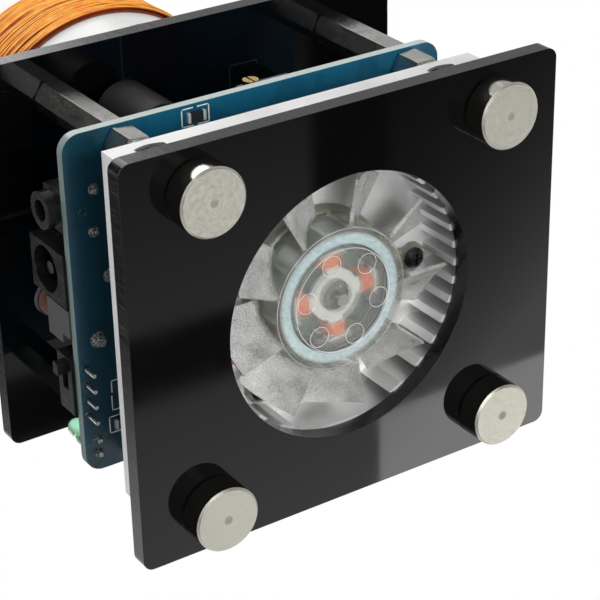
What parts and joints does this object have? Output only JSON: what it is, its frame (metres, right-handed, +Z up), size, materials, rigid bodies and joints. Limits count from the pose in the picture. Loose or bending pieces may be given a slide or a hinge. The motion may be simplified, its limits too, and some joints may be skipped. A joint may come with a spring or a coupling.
{
  "type": "desktop resonant transformer",
  "caption": "Small desktop music coil: fan-cooled heat sink on feet, driver board with jacks between acrylic plates, and a wound white tube with a discharge needle on top.",
  "frame": {"origin": "on the floor, in the middle of the four feet", "axes": "+Z up along the coil tube, -X towards the jacks, X along the long side of the plates"},
  "size_m": [0.078, 0.0674, 0.1244],
  "materials": {
    "black_acrylic": "polished, laser-cut edges",
    "nickel": "satin nickel plate",
    "foot_nickel": "turned end, nickel plate",
    "screw_steel": "zinc plate",
    "sink_aluminium": "satin, machined",
    "board_blue": "blue solder mask",
    "clear_plastic": "clear moulded",
    "base_plastic": "clear moulded, green cast",
    "rotor_steel": "blue zinc",
    "shaft_steel": "ground",
    "magnet": "bonded ferrite",
    "lamination": "stacked sheet",
    "white_plastic": "moulded",
    "copper_enamel": "enamelled copper",
    "winding_enamel": "enamelled copper",
    "bronze": "sintered",
    "green_circuit": "solder mask",
    "black_screw": "black oxide",
    "red_lead": "insulated wire",
    "black_lead": "insulated wire",
    "black_plastic": "moulded",
    "tin": "tin plate",
    "solder": "solder",
    "lamp_mint": "tinted resin",
    "ferrite": "pressed ferrite",
    "can_aluminium": "drawn",
    "sleeve_black": "shrunk sleeve",
    "seal_rubber": "moulded",
    "trimmer_blue": "moulded",
    "brass": "turned",
    "film_box": "moulded box",
    "chip_black": "glazed",
    "pad_grey": "silicone sheet",
    "tube_white": "extruded tube",
    "primary_insulation": "insulated wire"
  },
  "bodies": {
    "frame": {"bottom_plate": "black_acrylic", "top_plate": "black_acrylic", "feet": "foot_nickel", "corner_studs": "screw_steel", "heat_sink": "sink_aluminium", "lower_standoffs": "nickel", "upper_standoffs": "nickel", "top_screws": "screw_steel", "stator_core": "lamination", "stator_insulator": "white_plastic", "stator_coils": "copper_enamel", "fan_circuit": "green_circuit", "fan_base": "base_plastic", "fan_bush": "bronze", "fan_base_screws": "black_screw", "fan_lead_red": "red_lead", "fan_lead_black": "black_lead", "audio_jack_body": "black_plastic", "audio_jack_contacts": "tin", "dc_jack_body": "black_plastic", "dc_jack_pin": "tin", "dc_jack_contacts": "tin", "indicator_lamp": "lamp_mint", "lamp_legs": "tin", "switch_body": "black_plastic", "switch_pins": "tin", "choke_core": "ferrite", "choke_winding": "copper_enamel", "capacitor_can": "can_aluminium", "capacitor_sleeve": "sleeve_black", "capacitor_seal": "seal_rubber", "capacitor_leads": "tin", "trimmer_body": "trimmer_blue", "film_capacitors": "film_box", "film_capacitor_leads": "tin", "chip_resistors": "chip_black", "chip_terminals": "tin", "insulating_pad": "pad_grey", "power_transistor": "black_plastic", "transistor_screw": "screw_steel", "secondary_winding": "winding_enamel", "primary_winding": "primary_insulation", "coil_former": "tube_white", "former_base_ring": "white_plastic", "base_ring_screws": "screw_steel", "former_cap": "white_plastic", "discharge_needle": "brass", "needle_nut": "brass", "solder_joints": "solder", "circuit_board": "board_blue"},
    "fan_rotor": {"fan_impeller": "clear_plastic", "fan_shaft": "shaft_steel", "rotor_yoke": "rotor_steel", "rotor_magnet": "magnet"},
    "lever": {"switch_lever": "black_plastic"},
    "trimmer": {"trimmer_screw": "brass"}
  },
  "joints": [
    {"name": "fan_spin", "type": "hinge", "parent": "frame", "child": "fan_rotor", "pos_m": [0, 0, 0.0105], "axis": [0, 0, 1], "continuous": true},
    {"name": "switch_slide", "type": "slide", "parent": "frame", "child": "lever", "axis": [0, 1, 0], "range_m": [0, 0.003]},
    {"name": "trimmer_turn", "type": "hinge", "parent": "frame", "child": "trimmer", "pos_m": [-0.0005, -0.0276, 0.0315], "axis": [0, 1, 0], "continuous": true}
  ]
}
